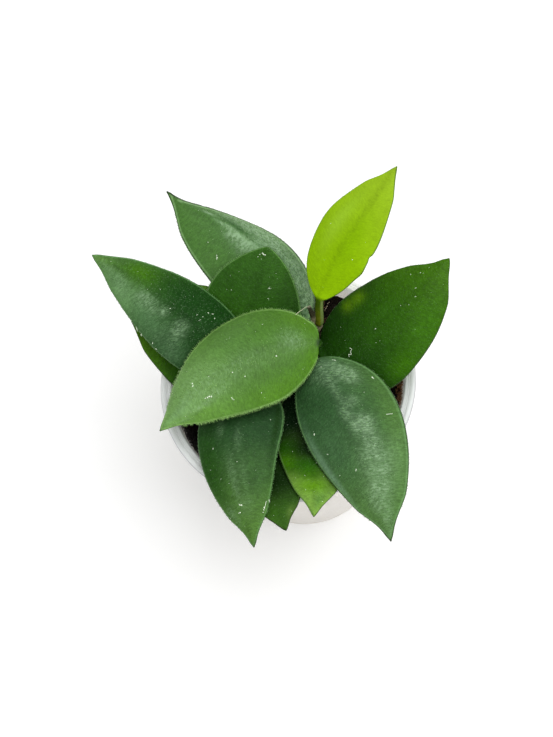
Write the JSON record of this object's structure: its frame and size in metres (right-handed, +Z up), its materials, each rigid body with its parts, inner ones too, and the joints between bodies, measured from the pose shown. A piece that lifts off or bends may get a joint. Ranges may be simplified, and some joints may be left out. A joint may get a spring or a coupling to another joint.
{
  "type": "potted hoya plant",
  "caption": "Young hoya with pointed, arched waxy leaves on two short cuttings in a small tapered translucent pot filled with peat.",
  "frame": {"origin": "centre of the pot's base, on the surface it stands on", "axes": "+Z up along the pot's axis; -Y towards the viewer, the side over which the two long front leaves hang; +X to the viewer's right"},
  "size_m": [0.0741, 0.0876, 0.0823],
  "materials": {
    "pot_plastic": "frosted, milky, translucent",
    "peat": "matt, fibrous, moist",
    "stem_bark": "satin, fibrous",
    "leaf_green": "satin, waxy, finely hairy",
    "leaf_dark": "satin, waxy, finely hairy",
    "leaf_new_green": "satin, waxy"
  },
  "bodies": {
    "root": {"pot": "pot_plastic", "soil": "peat", "stem_right": "stem_bark", "stem_left": "stem_bark", "leaf_front": "leaf_green", "leaf_left": "leaf_dark", "leaf_back_left": "leaf_green", "leaf_back": "leaf_dark", "leaf_new": "leaf_new_green", "leaf_right": "leaf_dark", "leaf_front_right": "leaf_dark", "leaf_front_left": "leaf_dark", "leaf_front_middle": "leaf_dark", "leaf_front_low": "leaf_dark", "leaf_left_low": "leaf_dark"}
  },
  "joints": []
}
